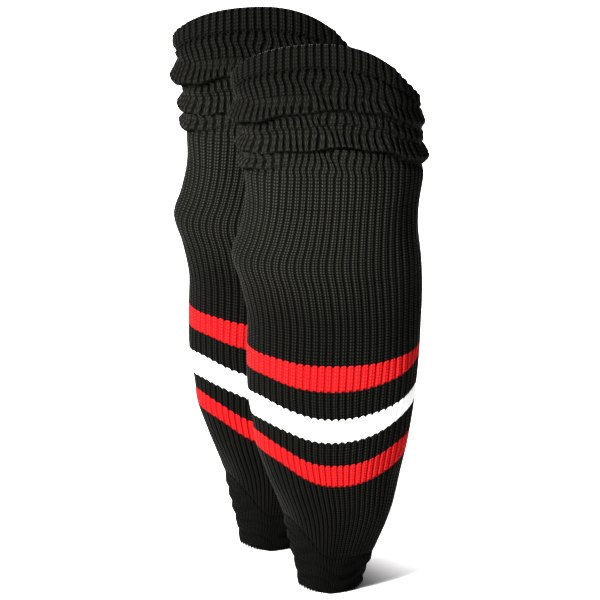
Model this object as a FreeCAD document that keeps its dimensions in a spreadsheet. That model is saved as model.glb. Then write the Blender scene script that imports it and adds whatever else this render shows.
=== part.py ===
# A pair of ice hockey shin guards, each inside its rib-knit striped sock.
# One guard is built about its own upright axis; the left one keeps that shape
# and the right one is its mirror image. Both face -Y and stand on their ankle hems.
import FreeCAD
import Part
import os

from FreeCAD import Rotation, Vector

doc = FreeCAD.newDocument("HockeyShinGuards")

# Sock outline: (name of the level, height, half width, half depth of the outer face).
SOCK_LEVELS = [
    ("hem_edge", 0, 36.5, 36),
    ("hem_seam", 40, 45.5, 43),
    ("ankle", 84, 57.5, 47),
    ("low_red", 134, 71, 50),
    ("low_black", 162, 79.5, 53),
    ("white", 180, 84, 54.5),
    ("high_black", 209, 89, 56.5),
    ("high_red", 232, 91.5, 58),
    ("shin", 262, 93, 59),
    ("calf", 318, 94, 60.5),
    ("knee_fold", 370, 101, 62),
    ("knee", 396, 94.5, 61),
    ("waist", 428, 91.5, 60),
    ("thigh_fold", 460, 97, 61),
    ("thigh", 500, 99, 61),
    ("rim", 612, 96, 58),
]

# Guard outline: the outer face of the shin shell.
GUARD_LEVELS = [
    ("toe", 84, 46, 35),
    ("lower_shin", 134, 60.5, 40),
    ("mid_shin", 180, 74.5, 45),
    ("upper_shin", 232, 81, 48),
    ("below_knee", 318, 82, 50),
    ("plate_top", 612, 82, 49),
]

SIZES = {
    "pair_x": 31.7,
    "pair_y": 83,
    "sock_wall": 4,
    "shell_wall": 2.4,
    "layer_gap": 0.2,
    "shin_foam": 10,
    "wing_foam": 6,
    "knee_foam": 9,
    "thigh_foam": 8,
    "cap_gap": 1.2,
    "strap_gap": 0.6,
    "strap_wall": 2,
    "strap_height": 38,
    "low_strap": 164,
    "high_strap": 300,
    "knee_pivot": 383,
    "thigh_pivot": 480,
    "ear_radius": 10,
    "pin_radius": 3,
    "pin_play": 0.06,
    "pin_inner": 78.5,
    "pin_neck": 85.75,
    "pin_outer": 87.2,
    "pin_head": 5.5,
    "rivet_radius": 2.5,
    "rivet_inner": -4,
    "rivet_neck": 2.7,
    "rivet_outer": 3.8,
    "rivet_head": 4,
    "rivet_back": 6,
    "cutter_reach": 130,
}


def make_sheet():
    sheet = doc.addObject("Spreadsheet::Sheet", "Sizes")
    rows = dict(SIZES)
    for prefix, levels in (("sock", SOCK_LEVELS), ("guard", GUARD_LEVELS)):
        for name, height, half_width, half_depth in levels:
            rows[f"{prefix}_{name}_height"] = height
            rows[f"{prefix}_{name}_width"] = half_width
            rows[f"{prefix}_{name}_depth"] = half_depth
    for row, (alias, value) in enumerate(rows.items(), start=1):
        sheet.set(f"A{row}", alias)
        sheet.set(f"B{row}", str(value))
        sheet.setAlias(f"B{row}", alias)
    doc.recompute()


def size(alias):
    return SIZES[alias]


def guard_half_width(height):
    """The shell's outer half width at a height between two levels."""
    for low, high in zip(GUARD_LEVELS, GUARD_LEVELS[1:]):
        if low[1] <= height <= high[1]:
            share = (height - low[1]) / (high[1] - low[1])
            return low[2] + share * (high[2] - low[2])
    raise ValueError(f"no guard wall at height {height}")


# ---- shared building steps ----


def ellipse_at(prefix, level, inset, name):
    ring = doc.addObject("Part::Ellipse", name)
    ring.setExpression("MajorRadius", f"Sizes.{prefix}_{level}_width - ({inset})")
    ring.setExpression("MinorRadius", f"Sizes.{prefix}_{level}_depth - ({inset})")
    ring.setExpression("Placement.Base.z", f"Sizes.{prefix}_{level}_height")
    return ring


def loft_through(prefix, levels, inset, name):
    """A solid through the outline's level rings, all drawn in by the same inset."""
    rings = [
        ellipse_at(prefix, level, inset, f"{name}_{level}") for level in levels
    ]
    loft = doc.addObject("Part::Loft", f"{name}_loft")
    loft.Sections = rings
    loft.Solid = True
    loft.Ruled = True
    return loft


def tube(prefix, levels, outer_inset, inner_inset, name):
    wall = doc.addObject("Part::Cut", f"{name}_tube")
    wall.Base = loft_through(prefix, levels, outer_inset, f"{name}_out")
    wall.Tool = loft_through(prefix, levels, inner_inset, f"{name}_in")
    return wall


def guard_layer(outer_inset, inner_inset, name):
    levels = [level[0] for level in GUARD_LEVELS]
    return tube("guard", levels, outer_inset, inner_inset, name)


def side_prism(edges, name, reach_back="Sizes.cutter_reach", reach_front="Sizes.cutter_reach"):
    """A closed outline in the side view (y, z), extruded along X both ways."""
    sketch = doc.addObject("Sketcher::SketchObject", f"{name}_outline")
    sketch.Placement.Rotation = Rotation(0.5, 0.5, 0.5, 0.5)
    for edge in edges:
        sketch.addGeometry(edge, False)
    prism = doc.addObject("Part::Extrusion", f"{name}_prism")
    prism.Base = sketch
    prism.DirMode = "Custom"
    prism.Dir = Vector(1, 0, 0)
    prism.Solid = True
    prism.setExpression("LengthFwd", reach_front)
    prism.setExpression("LengthRev", reach_back)
    return prism


def flat(y, z):
    return Vector(y, z, 0)


def polygon(points):
    ends = points[1:] + points[:1]
    return [Part.LineSegment(flat(*a), flat(*b)) for a, b in zip(points, ends)]


def shared(base, tool, name):
    piece = doc.addObject("Part::Common", name)
    piece.Base = base
    piece.Tool = tool
    return piece


def less(base, tool, name):
    piece = doc.addObject("Part::Cut", name)
    piece.Base = base
    piece.Tool = tool
    return piece


def group(pieces, name):
    bundle = doc.addObject("Part::Compound", name)
    bundle.Links = pieces
    return bundle


def mirror_twin(source, name):
    twin = doc.addObject("Part::Mirroring", name)
    twin.Source = source
    twin.Normal = Vector(1, 0, 0)
    return twin


def cross_rod(radius, height, name):
    """A rod along X through both sides, at a pivot's height."""
    rod = doc.addObject("Part::Cylinder", name)
    rod.setExpression("Radius", radius)
    rod.setExpression("Height", "2 * Sizes.cutter_reach")
    # The extra turn keeps the rod's seam off the seam of the wall that it drills.
    rod.Placement.Rotation = Rotation(Vector(0, 1, 0), 90) * Rotation(Vector(0, 0, 1), 45)
    rod.setExpression("Placement.Base.x", "-Sizes.cutter_reach")
    rod.setExpression("Placement.Base.z", height)
    return rod


def turned_pin(name, lengths, radii):
    """A headed pin turned about X: stem from inner to neck, head from neck to outer."""
    inner, neck, outer = lengths
    stem, head = radii
    body = doc.addObject("PartDesign::Body", name)
    plane = next(f for f in body.Origin.OriginFeatures if f.Role == "XY_Plane")
    axis = next(f for f in body.Origin.OriginFeatures if f.Role == "X_Axis")
    sketch = body.newObject("Sketcher::SketchObject", f"{name}_profile")
    sketch.AttachmentSupport = [(plane, "")]
    sketch.MapMode = "FlatFace"
    corners = [
        (size(inner), 0),
        (size(outer), 0),
        (size(outer), size(head)),
        (size(neck), size(head)),
        (size(neck), size(stem)),
        (size(inner), size(stem)),
    ]
    for edge in polygon(corners):
        sketch.addGeometry(edge, False)
    doc.recompute()
    turn = body.newObject("PartDesign::Revolution", f"{name}_turn")
    turn.Profile = sketch
    turn.ReferenceAxis = (axis, [""])
    turn.Angle = 360
    return body


# ---- side-view outlines ----


def ear_box(height, run):
    """The tongue from a plate's edge to its pivot, in the side view."""
    reach = size("ear_radius")
    low, high = sorted((height, height + run))
    return polygon([(-reach, low), (reach, low), (reach, high), (-reach, high)])


def with_ear(prism, pivot, run, name):
    """A plate outline with a rounded ear at its pivot."""
    tongue = side_prism(ear_box(size(pivot), run), f"{name}_tongue")
    disc = cross_rod("Sizes.ear_radius", f"Sizes.{pivot}", f"{name}_disc")
    joined = doc.addObject("Part::MultiFuse", f"{name}_eared")
    joined.Shapes = [prism, tongue, disc]
    return joined


def drilled(piece, radius, pivot, name):
    rod = cross_rod(radius, f"Sizes.{pivot}", f"{name}_drill")
    return less(piece, rod, name)


# ---- the hard guard and its foam ----


def shin_shell(rivets):
    layer = guard_layer("0", "Sizes.shell_wall", "shell_layer")
    front = side_prism(
        polygon([(-70, 110), (-40, 90), (-10, 90), (2, 112), (8, 150), (8, 356), (-2, 372), (-70, 372)]),
        "shin_front",
    )
    eared = with_ear(front, "knee_pivot", -20, "shin")
    bored = drilled(eared, "Sizes.pin_radius", "knee_pivot", "shin_bored")
    return less(shared(layer, bored, "shin_plate"), rivets, "shin_shell_base")


def shin_liner(rivets):
    layer = guard_layer(
        "Sizes.shell_wall + Sizes.layer_gap",
        "Sizes.shell_wall + Sizes.layer_gap + Sizes.shin_foam",
        "liner_layer",
    )
    front = side_prism(polygon([(-70, 96), (4, 96), (4, 366), (-70, 366)]), "liner_front")
    return less(shared(layer, front, "liner_body"), rivets, "shin_liner_base")


def calf_wings():
    layer = guard_layer(
        "Sizes.shell_wall + Sizes.layer_gap",
        "Sizes.shell_wall + Sizes.layer_gap + Sizes.wing_foam",
        "wing_layer",
    )
    outline = polygon([(4.2, 120), (20, 112), (70, 140), (70, 330), (20, 350), (4.2, 350)])
    wings = []
    for name, back, front in (("outer", "-4", "Sizes.cutter_reach"), ("inner", "Sizes.cutter_reach", "-4")):
        half = side_prism(outline, f"wing_{name}", back, front)
        wings.append(shared(layer, half, f"calf_wing_{name}_base"))
    return wings


def straps():
    """Two elastic straps round the calf, their hook tabs and their anchor plates."""
    layer = guard_layer("-Sizes.strap_gap - Sizes.strap_wall", "-Sizes.strap_gap", "strap_layer")
    made = {}
    tabs = []
    anchors = []
    for name in ("low_strap", "high_strap"):
        middle = size(name)
        half = size("strap_height") / 2
        around = polygon(
            [(4.3, middle - half), (70, middle - half), (70, middle + half), (4.3, middle + half)]
        )
        made[name] = shared(layer, side_prism(around, name), f"{name}_base")
        tab = polygon(
            [(-28, middle - 9), (-20, middle - 15), (4.3, middle - 15), (4.3, middle + 15),
             (-20, middle + 15), (-28, middle + 9)]
        )
        tabs.append(shared(layer, side_prism(tab, f"{name}_tab", "-4"), f"{name}_tab_piece"))
        plate = polygon(
            [(-16, middle - 12), (4.3, middle - 18), (4.3, middle + 18), (-16, middle + 12)]
        )
        block = side_prism(plate, f"{name}_anchor", "Sizes.cutter_reach", "-4")
        anchors.append(shared(layer, block, f"{name}_anchor_piece"))
    return made, tabs, anchors


def rivet_at(name, strap):
    rivet = turned_pin(
        name, ("rivet_inner", "rivet_neck", "rivet_outer"), ("rivet_radius", "rivet_head")
    )
    rivet.Placement.Base.x = guard_half_width(size(strap))
    rivet.setExpression("Placement.Base.y", "-Sizes.rivet_back")
    rivet.setExpression("Placement.Base.z", f"Sizes.{strap}")
    return mirror_twin(rivet, f"{name}_on_side")


def knee_cap():
    layer = guard_layer(
        "-Sizes.cap_gap - Sizes.shell_wall", "-Sizes.cap_gap", "cap_layer"
    )
    front = side_prism(
        polygon([(-70, 398), (-10, 398), (10, 404), (12, 420), (12, 440), (10, 448), (-10, 455), (-70, 455)]),
        "cap_front",
    )
    lower = with_ear(front, "knee_pivot", 25, "cap_low")
    both = with_ear(lower, "thigh_pivot", -35, "cap_high")
    play = "Sizes.pin_radius + Sizes.pin_play"
    once = drilled(both, play, "knee_pivot", "cap_bored_once")
    twice = drilled(once, play, "thigh_pivot", "cap_bored_twice")
    return shared(layer, twice, "knee_cap_base")


def knee_pad():
    layer = guard_layer("0", "Sizes.knee_foam", "knee_pad_layer")
    front = side_prism(polygon([(-70, 399), (4, 399), (4, 454), (-70, 454)]), "knee_pad_front")
    return shared(layer, front, "knee_pad_base")


def arched_top(front_height, side_height, back_height, floor, back):
    """A side outline whose top edge sweeps down from the front to the back."""
    arc = Part.Arc(flat(-70, front_height), flat(-20, side_height), flat(back, back_height))
    return [
        arc,
        Part.LineSegment(flat(back, back_height), flat(back, floor)),
        Part.LineSegment(flat(back, floor), flat(-70, floor)),
        Part.LineSegment(flat(-70, floor), flat(-70, front_height)),
    ]


def thigh_plate():
    layer = guard_layer("0", "Sizes.shell_wall", "thigh_layer")
    front = side_prism(arched_top(605, 552, 530, 496, 8), "thigh_front")
    eared = with_ear(front, "thigh_pivot", 22, "thigh")
    bored = drilled(eared, "Sizes.pin_radius", "thigh_pivot", "thigh_bored")
    return shared(layer, bored, "thigh_plate_base")


def thigh_pad():
    layer = guard_layer(
        "Sizes.shell_wall + Sizes.layer_gap",
        "Sizes.shell_wall + Sizes.layer_gap + Sizes.thigh_foam",
        "thigh_pad_layer",
    )
    front = side_prism(arched_top(609, 556, 534, 500, 4), "thigh_pad_front")
    return shared(layer, front, "thigh_pad_base")


def pivot_pins(pivot, name):
    pin = turned_pin(name, ("pin_inner", "pin_neck", "pin_outer"), ("pin_radius", "pin_head"))
    pin.setExpression("Placement.Base.z", f"Sizes.{pivot}")
    return group([pin, mirror_twin(pin, f"{name}_twin")], f"{name}_base")


# ---- the sock ----


def sock_band(first, last, name):
    names = [level[0] for level in SOCK_LEVELS]
    levels = names[names.index(first):names.index(last) + 1]
    return tube("sock", levels, "0", "Sizes.sock_wall", name)


def rim_outline(front, side, back, floor):
    """The space under a rim that falls from the front to the sides and back."""
    arc = Part.Arc(flat(-70, front), flat(0, side), flat(70, back))
    return [
        arc,
        Part.LineSegment(flat(70, back), flat(70, floor)),
        Part.LineSegment(flat(70, floor), flat(-70, floor)),
        Part.LineSegment(flat(-70, floor), flat(-70, front)),
    ]


def sock_top():
    """The knit over the thigh plate and the sewn hem above it."""
    whole = sock_band("thigh", "rim", "sock_top")
    to_rim = side_prism(rim_outline(626, 552, 536, 490), "rim_cut")
    to_hem = side_prism(rim_outline(598, 525, 510, 490), "hem_cut")
    under_rim = shared(whole, to_rim, "sock_under_rim")
    thigh = shared(whole, to_hem, "sock_thigh_knit_base")
    hem = less(under_rim, to_hem, "sock_top_hem_base")
    return thigh, hem


def sock_pieces():
    thigh, hem = sock_top()
    reds = [
        sock_band("low_red", "low_black", "red_low"),
        sock_band("high_red", "shin", "red_high"),
    ]
    blacks = [
        sock_band("low_black", "white", "black_low"),
        sock_band("high_black", "high_red", "black_high"),
    ]
    return {
        "sock_ankle_hem": sock_band("hem_edge", "hem_seam", "ankle_hem"),
        "sock_lower_knit": sock_band("hem_seam", "low_red", "lower_knit"),
        "sock_red_stripes": group(reds, "red_stripes_base"),
        "sock_black_bands": group(blacks, "black_bands_base"),
        "sock_white_stripe": sock_band("white", "high_black", "white_stripe"),
        "sock_shin_knit": sock_band("shin", "knee_fold", "shin_knit"),
        "sock_knee_fold": sock_band("knee_fold", "knee", "knee_fold_band"),
        "sock_knee_knit": sock_band("knee", "thigh_fold", "knee_knit"),
        "sock_thigh_fold": sock_band("thigh_fold", "thigh", "thigh_fold_band"),
        "sock_thigh_knit": thigh,
        "sock_top_hem": hem,
    }


def guard_pieces():
    rivets = group(
        [rivet_at("low_rivet", "low_strap"), rivet_at("high_rivet", "high_strap")], "anchor_rivets_base"
    )
    outer_wing, inner_wing = calf_wings()
    strap_set, tabs, anchors = straps()
    return {
        "shin_shell": shin_shell(rivets),
        "shin_liner": shin_liner(rivets),
        "calf_wing_outer": outer_wing,
        "calf_wing_inner": inner_wing,
        "lower_strap": strap_set["low_strap"],
        "upper_strap": strap_set["high_strap"],
        "strap_hook_tabs": group(tabs, "strap_tabs_base"),
        "strap_anchors": less(group(anchors, "anchor_plates"), rivets, "strap_anchors_base"),
        "anchor_rivets": rivets,
        "knee_cap": knee_cap(),
        "knee_pad": knee_pad(),
        "knee_pivot_pins": pivot_pins("knee_pivot", "knee_pin"),
        "thigh_plate": thigh_plate(),
        "thigh_pad": thigh_pad(),
        "thigh_pivot_pins": pivot_pins("thigh_pivot", "thigh_pin"),
    }


# ---- the pair ----


def place_pair(pieces):
    """The left guard keeps each piece's shape and the right guard mirrors it."""
    parts = []
    for name, base in pieces.items():
        left = group([base], f"left_{name}")
        left.setExpression("Placement.Base.x", "Sizes.pair_x")
        left.setExpression("Placement.Base.y", "-Sizes.pair_y")
        right = mirror_twin(base, f"right_{name}")
        right.setExpression("Placement.Base.x", "-Sizes.pair_x")
        right.setExpression("Placement.Base.y", "Sizes.pair_y")
        parts += [left, right]
    return parts


def check_document(parts):
    for item in doc.Objects:
        if "Invalid" in item.State or "Error" in item.State:
            raise RuntimeError(f"{item.Name} failed: {item.State}")
    for part in parts:
        if part.Shape.isNull() or not part.Shape.isValid():
            raise RuntimeError(f"{part.Label} has no valid shape")
        if not part.Shape.Solids:
            raise RuntimeError(f"{part.Label} holds no solid")


def write_parts(parts):
    os.makedirs("parts", exist_ok=True)
    for part in parts:
        part.Shape.exportStep(f"parts/{part.Label}.step")
        print(part.Label, len(part.Shape.Solids), round(part.Shape.Volume / 1000, 1), "cm3")


make_sheet()
all_parts = place_pair({**sock_pieces(), **guard_pieces()})
doc.recompute()
check_document(all_parts)
write_parts(all_parts)
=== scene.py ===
# A pair of ice hockey shin guards in their striped rib-knit socks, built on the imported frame.
import bmesh
import bpy
import math
import numpy as np
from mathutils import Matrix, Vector


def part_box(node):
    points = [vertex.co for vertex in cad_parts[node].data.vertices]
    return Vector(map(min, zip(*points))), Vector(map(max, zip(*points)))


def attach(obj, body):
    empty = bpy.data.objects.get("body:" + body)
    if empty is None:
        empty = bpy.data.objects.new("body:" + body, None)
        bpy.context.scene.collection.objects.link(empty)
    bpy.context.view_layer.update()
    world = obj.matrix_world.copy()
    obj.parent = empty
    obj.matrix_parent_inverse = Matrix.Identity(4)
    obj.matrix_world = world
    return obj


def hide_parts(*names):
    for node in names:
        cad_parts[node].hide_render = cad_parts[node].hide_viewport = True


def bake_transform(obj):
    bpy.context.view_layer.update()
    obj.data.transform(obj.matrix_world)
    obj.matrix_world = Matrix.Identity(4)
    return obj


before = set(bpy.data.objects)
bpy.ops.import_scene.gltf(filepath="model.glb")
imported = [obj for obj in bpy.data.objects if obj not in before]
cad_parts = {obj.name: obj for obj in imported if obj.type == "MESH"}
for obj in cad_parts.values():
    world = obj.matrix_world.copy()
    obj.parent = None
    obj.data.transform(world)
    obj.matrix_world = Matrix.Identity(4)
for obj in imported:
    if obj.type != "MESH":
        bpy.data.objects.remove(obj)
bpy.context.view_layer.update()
print("frame loaded:", len(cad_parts), "nodes")

tau = 2 * math.pi


def middleOf(node):
    low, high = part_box(node)
    return (low + high) / 2


def addMesh(name, points, faces, smooth=True):
    mesh = bpy.data.meshes.new(name)
    mesh.vertices.add(len(points))
    mesh.vertices.foreach_set("co", np.asarray(points, np.float32).ravel())
    faces = np.asarray(faces, np.int32)
    sides = faces.shape[1]
    mesh.loops.add(faces.size)
    mesh.loops.foreach_set("vertex_index", faces.ravel())
    mesh.polygons.add(len(faces))
    mesh.polygons.foreach_set("loop_start", np.arange(0, faces.size, sides, dtype=np.int32))
    mesh.polygons.foreach_set("use_smooth", np.full(len(faces), smooth))
    mesh.update(calc_edges=True)
    mesh.validate()
    piece = bpy.data.objects.new(name, mesh)
    bpy.context.scene.collection.objects.link(piece)
    return piece


def catmull(knots, values, x):
    # A smooth curve through the knots, with the slopes of its neighbours.
    knots = np.asarray(knots, float)
    values = np.asarray(values, float)
    slopes = np.gradient(values, knots)
    k = np.clip(np.searchsorted(knots, x) - 1, 0, len(knots) - 2)
    gap = knots[k + 1] - knots[k]
    t = np.clip((x - knots[k]) / gap, 0, 1)
    return (
        (2 * t**3 - 3 * t**2 + 1) * values[k]
        + (t**3 - 2 * t**2 + t) * gap * slopes[k]
        + (3 * t**2 - 2 * t**3) * values[k + 1]
        + (t**3 - t**2) * gap * slopes[k + 1]
    )


def aroundLeg(angle, front, left, right, back, leftPower=2.0, rightPower=2.0):
    # Spreads four values round the leg; the angle is 0 at the front and grows to the right.
    # A higher power keeps the front value to a narrower stretch on that side.
    c, s = np.cos(angle), np.sin(angle)
    power = np.where(s > 0, rightPower, leftPower)
    share = np.abs(c) ** np.where(c > 0, power, 2.0)
    return np.where(c > 0, front, back) * share + np.where(s > 0, right, left) * (1 - share)


sock = {
    "ribs": 62,
    "columnsPerRib": 8,  # mesh columns
    "rowStep": 0.0022,  # between mesh rows
    "foldRowStep": 0.0010,  # the same in the slack cloth
    "foldsFrom": 0.44,  # a piece that ends above this level has the finer rows
    "innerRows": 10,
    "coursePitch": 0.003,  # one stitch
    "wall": 0.0018,
    "ribHeight": 0.0024,
    "ribRoundness": 0.7,  # lower is squarer
    "scallop": 0.0032,  # how far a colour's edge dips between two ribs
    "rimRoll": 0.004,
    "squareness": 2.25,  # of the section; 2 is an ellipse
    "footSquareness": 1.95,
    "footTop": 0.10,
    "kneeHalfWidth": 0.100,
    "kneeHalfDepth": 0.061,
    "measuringSteps": 2881,  # round the knee's section, to space the ribs
}

# Height, left edge, right edge, front and back depth of the outer face, in metres.
sockOutline = [
    (0.000, -0.0335, 0.0335, 0.0400, 0.0400),
    (0.014, -0.0350, 0.0360, 0.0420, 0.0410),
    (0.043, -0.0410, 0.0490, 0.0450, 0.0430),
    (0.083, -0.0505, 0.0655, 0.0500, 0.0460),
    (0.128, -0.0695, 0.0755, 0.0540, 0.0510),
    (0.160, -0.0800, 0.0835, 0.0565, 0.0550),
    (0.184, -0.0820, 0.0875, 0.0580, 0.0580),
    (0.220, -0.0880, 0.0925, 0.0595, 0.0600),
    (0.262, -0.0885, 0.0965, 0.0600, 0.0610),
    (0.305, -0.0890, 0.0980, 0.0610, 0.0610),
    (0.338, -0.0960, 0.0985, 0.0620, 0.0600),
    (0.368, -0.1043, 0.0980, 0.0635, 0.0590),
    (0.392, -0.0965, 0.0958, 0.0625, 0.0590),
    (0.424, -0.0905, 0.0958, 0.0605, 0.0590),
    (0.452, -0.0915, 0.0990, 0.0605, 0.0590),
    (0.490, -0.0945, 0.1000, 0.0610, 0.0590),
    (0.530, -0.1000, 0.0985, 0.0610, 0.0590),
    (0.560, -0.1055, 0.0940, 0.0605, 0.0580),
    (0.615, -0.1060, 0.0900, 0.0600, 0.0570),
]

# Where named courses of knitting lie: front, left, right and back heights.
sockCourses = {
    "foot": (0.000, 0.0050, 0.0060, 0.000),
    "ankleSeam": (0.041, 0.083, 0.042, 0.060),
    "lowRedFoot": (0.123, 0.158, 0.152, 0.156),
    "lowRedTop": (0.1465, 0.177, 0.180, 0.180),
    "whiteFoot": (0.173, 0.194, 0.211, 0.204),
    "whiteTop": (0.199, 0.221, 0.228, 0.227),
    "highRedFoot": (0.2295, 0.246, 0.257, 0.252),
    "highRedTop": (0.258, 0.268, 0.271, 0.272),
    "shinTop": (0.350, 0.350, 0.352, 0.350),
    "kneeTop": (0.430, 0.430, 0.430, 0.430),
    "hemSeam": (0.584, 0.549, 0.528, 0.518),
    "rim": (0.611, 0.565, 0.541, 0.538),
}

# How sharply the courses bend between the front and each side, by level.
courseBend = {"levels": [0.30, 0.50], "left": [4.0, 1.15], "right": [1.6, 1.35]}

# Level and share of the full rib height: flat on the ankle hem, stretched over the knee.
ribShares = [
    (0.0, 0.10),
    (0.050, 0.10),
    (0.062, 0.8),
    (0.10, 1.0),
    (0.30, 0.9),
    (0.37, 0.75),
    (0.43, 0.9),
    (0.50, 1.0),
    (0.60, 1.1),
]

# Slack cloth above the knee: height, push, drop and width at the front, left, right and back.
sockFolds = [
    {"height": (0.5060, 0.4930, 0.4820, 0.493), "push": (0.0056, 0.0052, 0.0048, 0.0040),
     "drop": (0.0060, 0.0048, 0.0036, 0.0045), "width": (0.0058, 0.0064, 0.0090, 0.0080)},
    {"height": (0.5475, 0.5270, 0.5190, 0.522), "push": (0.0054, 0.0070, 0.0026, 0.0035),
     "drop": (0.0060, 0.0078, 0.0020, 0.0035), "width": (0.0060, 0.0100, 0.0080, 0.0090)},
    {"height": (0.5280, 0.5100, 0.5000, 0.509), "push": (0.0016, 0.0004, 0.0012, 0.0010),
     "drop": (0.0024, 0.0004, 0.0016, 0.0012), "width": (0.0045, 0.0050, 0.0050, 0.0060)},
    {"height": (0.4880, 0.4750, 0.4680, 0.474), "push": (0.0000, 0.0060, 0.0000, 0.0035),
     "drop": (0.0000, 0.0068, 0.0000, 0.0040), "width": (0.0060, 0.0074, 0.0080, 0.0090)},
]

# A fold's section in units of its width: a swell with a sharper lip, between two creases.
foldShape = {
    "swell": 0.75,
    "lip": 0.45,
    "lipSharpness": 2.4,
    "lowCrease": {"depth": 0.8, "place": -1.35, "sharpness": 2.4},
    "highCrease": {"depth": 0.5, "place": 1.30, "sharpness": 2.8},
    "wander": [(0.0022, 3, 0.4), (0.0012, 11, 0.8)],
}

# Leaning ribs and small wrinkles in the slack cloth, and its seams.
# Each wander is a list of waves round the leg: height, number of waves and phase.
sockSlack = {
    "low": 0.462,
    "high": 0.590,
    "fade": 0.016,
    "lean": 0.13,
    "leanAngle": -0.62,
    "leanReach": 0.42,
    "leanTop": 0.545,
    "leanFoot": 0.498,
    "leanEnd": 0.38,
    "sway": 0.018,
    "swayPitch": 0.036,
    "swayWander": [(2.2, 2, 0.4), (1.9, 5, 0.0)],
    "wrinkle": 0.0007,
    "wrinklePitch": 0.0125,
    "wrinkleWander": [(3.0, 4, 0.4), (2.0, 7, 0.0)],
    "wrinkleMean": 0.6,
    "wrinklePatches": [(0.4, 3, 1.4)],
    "hemWrinkle": 0.0011,
    "hemWrinklePitch": 0.0150,
    "hemWander": [(2.6, 2, 0.7), (1.5, 5, 0.0)],
    "hemWrinkleTop": 0.062,
    "hemWrinkleFade": 0.020,
    "seamDepths": {"hemSeam": 0.0032, "ankleSeam": 0.0013},
    "seamReach": 0.0020,
    "ripples": [(0.0006, 5, 40, 0.4), (0.0005, 9, -55, 0.0)],  # height, turns round, up, phase
}

# Knit pieces that span a bend of the guard, left unattached: bodies below and above, and the
# stretch between.
bends = {
    "kneeKnit": {"below": "shin", "above": "knee_cap", "from": 0.362, "to": 0.404},
    "thighKnit": {"below": "knee_cap", "above": "thigh", "from": 0.456, "to": 0.504},
}

stripePieces = [
    # name, first course, last course, yarn, CAD nodes that it stands for
    ("ankleHem", "foot", "ankleSeam", "knit_black", ["sock_ankle_hem"]),
    ("lowerKnit", "ankleSeam", "lowRedFoot", "knit_black", ["sock_lower_knit"]),
    ("lowRedStripe", "lowRedFoot", "lowRedTop", "knit_red", ["sock_red_stripes"]),
    ("lowBlackBand", "lowRedTop", "whiteFoot", "knit_black", ["sock_black_bands"]),
    ("whiteStripe", "whiteFoot", "whiteTop", "knit_white", ["sock_white_stripe"]),
    ("highBlackBand", "whiteTop", "highRedFoot", "knit_black", ["sock_black_bands"]),
    ("highRedStripe", "highRedFoot", "highRedTop", "knit_red", ["sock_red_stripes"]),
    ("shinKnit", "highRedTop", "shinTop", "knit_black", ["sock_shin_knit"]),
    ("kneeKnit", "shinTop", "kneeTop", "knit_black", ["sock_knee_fold", "sock_knee_knit"]),
    ("thighKnit", "kneeTop", "hemSeam", "knit_black", ["sock_thigh_fold", "sock_thigh_knit"]),
    ("topHem", "hemSeam", "rim", "knit_black", ["sock_top_hem"]),
]


def courseLevel(name):
    # A course's own coordinate along the sock: the mean of its four heights.
    return sum(sockCourses[name]) / 4


def heightOf(level, angle):
    knots = [courseLevel(name) for name in sockCourses]
    sides = [
        catmull(knots, [heights[side] for heights in sockCourses.values()], level)
        for side in range(4)
    ]
    # The stripes drop steeply to the left of the shin; the rim is a fuller arch.
    leftPower = np.interp(level, courseBend["levels"], courseBend["left"])
    rightPower = np.interp(level, courseBend["levels"], courseBend["right"])
    return aroundLeg(angle, *sides, leftPower, rightPower)


def ringRadii(height):
    knots = [row[0] for row in sockOutline]
    return [catmull(knots, [row[side] for row in sockOutline], height) for side in range(1, 5)]


def ringAngles(count):
    # Angles that space the ribs evenly round the knee's section.
    fine = np.linspace(0, tau, sock["measuringSteps"])
    x = sock["kneeHalfWidth"] * signedPower(np.sin(fine))
    y = -sock["kneeHalfDepth"] * signedPower(np.cos(fine))
    run = np.concatenate([[0], np.cumsum(np.hypot(np.diff(x), np.diff(y)))])
    return np.interp(np.arange(count) / count * run[-1], run, fine)


def signedPower(value, squareness=sock["squareness"]):
    return np.sign(value) * np.abs(value) ** (2 / squareness)


def ribProfile(rib):
    # Round-topped ribs with narrow valleys; 0 in the valley and 1 on the rib.
    return np.abs(np.sin(math.pi * rib)) ** sock["ribRoundness"]


def slackAt(height):
    # 1 in the slack cloth above the knee, fading to 0 above and below it.
    rise = np.clip((height - sockSlack["low"]) / sockSlack["fade"], 0, 1)
    fall = np.clip((sockSlack["high"] - height) / sockSlack["fade"], 0, 1)
    return rise * rise * (3 - 2 * rise) * fall * fall * (3 - 2 * fall)


def leanAt(height, angle):
    # Ribs left of the shin are dragged round as the cloth slips down, and straighten below.
    turned = (angle + math.pi) % tau - math.pi
    near = (turned - sockSlack["leanAngle"]) / sockSlack["leanReach"]
    knots = [sockSlack["leanEnd"], sockSlack["leanFoot"], sockSlack["leanTop"]]
    return sockSlack["lean"] * np.exp(-near * near) * np.interp(height, knots, [0, 1, 0])


def waves(angle, parts):
    return sum(size * np.sin(count * angle + phase) for size, count, phase in parts)


def wrinklesAt(level, height, angle):
    # Small wrinkles in the slack cloth and on the plain ankle hem, seams and broad ripples.
    size = sockSlack["wrinkleMean"] + waves(angle, sockSlack["wrinklePatches"])
    phase = tau * height / sockSlack["wrinklePitch"] + waves(angle, sockSlack["wrinkleWander"])
    push = sockSlack["wrinkle"] * slackAt(height) * size * np.sin(phase)
    low = np.clip((sockSlack["hemWrinkleTop"] - level) / sockSlack["hemWrinkleFade"], 0, 1)
    phase = tau * height / sockSlack["hemWrinklePitch"] + waves(angle, sockSlack["hemWander"])
    push = push + sockSlack["hemWrinkle"] * low * np.sin(phase)
    for seam, depth in sockSlack["seamDepths"].items():
        off = (level - courseLevel(seam)) / sockSlack["seamReach"]
        push = push - depth * np.exp(-off * off)
    for size, turns, climb, phase in sockSlack["ripples"]:
        push = push + size * np.sin(turns * angle + climb * height + phase)
    return push


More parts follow.
